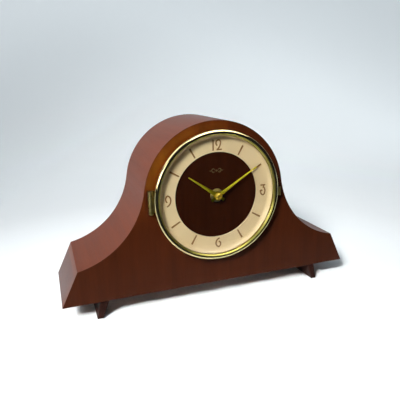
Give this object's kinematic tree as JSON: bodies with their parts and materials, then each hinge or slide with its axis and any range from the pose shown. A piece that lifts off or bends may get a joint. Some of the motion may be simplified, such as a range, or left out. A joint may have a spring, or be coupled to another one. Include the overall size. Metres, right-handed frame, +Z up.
{
  "type": "mantel clock",
  "caption": "Tambour mantel clock in mahogany on splayed foot rails, with a hinged brass bezel over a cream chapter ring, a battery movement and a rear door.",
  "frame": {"origin": "centre of the overall box at the soles of the feet", "axes": "+Z up, the dial faces -Y, +X to the right of someone facing the dial"},
  "size_m": [0.36, 0.112, 0.2155],
  "materials": {
    "front_veneer": "dark mahogany veneer, satin lacquer",
    "shell_veneer": "mahogany veneer on bent ply, satin lacquer",
    "end_veneer": "mahogany veneer, satin lacquer",
    "base_timber": "plain stained timber",
    "foot_timber": "dark stained timber, satin",
    "back_timber": "stained plywood",
    "block_timber": "bare softwood",
    "bezel_brass": "polished and lacquered",
    "fitting_brass": "satin brass",
    "hand_brass": "satin gilt",
    "steel": "bright zinc plate",
    "ring_enamel": "cream satin enamel",
    "marker_paint": "bronze-brown print",
    "crystal_glass": "clear domed glass",
    "movement_plastic": "moulded, black",
    "wheel_plastic": "moulded, natural white",
    "knob_plastic": "moulded, red",
    "magnet_brown": "moulded, brown",
    "gasket_rubber": "moulded",
    "core_iron": "laminated iron",
    "coil_copper": "enamelled copper winding",
    "board_green": "resin board",
    "chip_black": "potting resin",
    "battery_jacket": "plain printed jacket"
  },
  "bodies": {
    "case": {"front_panel": "front_veneer", "top_shell": "shell_veneer", "end_board_left": "end_veneer", "end_board_right": "end_veneer", "base_board": "base_timber", "back_panel": "back_timber", "glue_blocks": "block_timber", "foot_left": "foot_timber", "foot_right": "foot_timber", "foot_screws": "steel", "back_panel_screws": "fitting_brass", "rear_hinge_case_leaves": "fitting_brass", "rear_hinge_pins": "steel", "rear_hinge_case_screws": "fitting_brass", "magnet_catch": "magnet_brown", "chapter_ring": "ring_enamel", "chapter_ring_feet": "fitting_brass", "hour_bars": "marker_paint", "hour_numerals": "marker_paint", "bezel_hinge_plate": "fitting_brass", "bezel_hinge_pin": "steel", "bezel_fitting_screws": "fitting_brass", "bezel_catch_clip": "fitting_brass", "threaded_bushing": "fitting_brass", "bushing_washer": "fitting_brass", "bushing_nut": "fitting_brass", "movement_gasket": "gasket_rubber", "movement_front_case": "movement_plastic", "movement_rear_case": "movement_plastic", "train_plate": "movement_plastic", "stator": "core_iron", "coil_core": "core_iron", "coil": "coil_copper", "circuit_board": "board_green", "board_components": "chip_black", "battery": "battery_jacket", "battery_contacts": "steel"},
    "bezel": {"bezel_ring": "bezel_brass", "bezel_glass": "crystal_glass", "glass_retaining_ring": "bezel_brass", "bezel_hinge_leaf": "fitting_brass", "bezel_thumb_tab": "fitting_brass"},
    "rear_door": {"rear_door": "back_timber", "rear_hinge_door_leaves": "fitting_brass", "rear_hinge_door_screws": "fitting_brass", "rear_door_knob": "fitting_brass", "catch_strike": "steel"},
    "minute_hand": {"minute_arbor": "fitting_brass", "minute_hand": "hand_brass", "hand_nut": "bezel_brass", "clutch_spring": "steel"},
    "hour_hand": {"hour_wheel": "fitting_brass", "hour_hand": "hand_brass"},
    "setting_stem": {"motion_wheel": "wheel_plastic", "setting_knob": "knob_plastic"},
    "seconds_wheel": {"seconds_wheel": "wheel_plastic"},
    "third_wheel": {"third_wheel": "wheel_plastic"},
    "centre_wheel": {"centre_wheel": "wheel_plastic"},
    "intermediate_wheel": {"intermediate_wheel": "wheel_plastic"},
    "rotor": {"rotor": "core_iron"}
  },
  "joints": [
    {"name": "bezel_swing", "type": "hinge", "parent": "case", "child": "bezel", "pos_m": [-0.0781, -0.04858, 0.1305], "axis": [0, 0, -1], "range_deg": [0, 115]},
    {"name": "rear_door_swing", "type": "hinge", "parent": "case", "child": "rear_door", "pos_m": [-0.0476, 0.04992, 0.122], "axis": [0, 0, 1], "range_deg": [0, 110]},
    {"name": "minute_hand_turn", "type": "hinge", "parent": "case", "child": "minute_hand", "pos_m": [0, 0, 0.1305], "axis": [0, 1, 0], "continuous": true},
    {"name": "hour_hand_turn", "type": "hinge", "parent": "case", "child": "hour_hand", "pos_m": [0, 0, 0.1305], "axis": [0, 1, 0], "continuous": true},
    {"name": "setting_stem_turn", "type": "hinge", "parent": "case", "child": "setting_stem", "pos_m": [0.009, 0, 0.1305], "axis": [0, 1, 0], "continuous": true},
    {"name": "seconds_wheel_turn", "type": "hinge", "parent": "case", "child": "seconds_wheel", "pos_m": [0, 0, 0.1305], "axis": [0, 1, 0], "continuous": true},
    {"name": "third_wheel_turn", "type": "hinge", "parent": "case", "child": "third_wheel", "pos_m": [-0.0085, 0, 0.1305], "axis": [0, 1, 0], "continuous": true},
    {"name": "centre_wheel_turn", "type": "hinge", "parent": "case", "child": "centre_wheel", "pos_m": [0, 0, 0.1305], "axis": [0, 1, 0], "continuous": true},
    {"name": "intermediate_wheel_turn", "type": "hinge", "parent": "case", "child": "intermediate_wheel", "pos_m": [0.00181, 0, 0.13726], "axis": [0, 1, 0], "continuous": true},
    {"name": "rotor_turn", "type": "hinge", "parent": "case", "child": "rotor", "pos_m": [0.00481, 0, 0.14246], "axis": [0, 1, 0], "continuous": true}
  ],
  "couplings": [
    {"joint": "hour_hand_turn", "follows": "minute_hand_turn", "ratio": 0.083333},
    {"joint": "setting_stem_turn", "follows": "minute_hand_turn", "ratio": -0.33333},
    {"joint": "third_wheel_turn", "follows": "seconds_wheel_turn", "ratio": -0.13333},
    {"joint": "centre_wheel_turn", "follows": "seconds_wheel_turn", "ratio": 0.016667},
    {"joint": "intermediate_wheel_turn", "follows": "seconds_wheel_turn", "ratio": -6},
    {"joint": "rotor_turn", "follows": "seconds_wheel_turn", "ratio": 30}
  ]
}
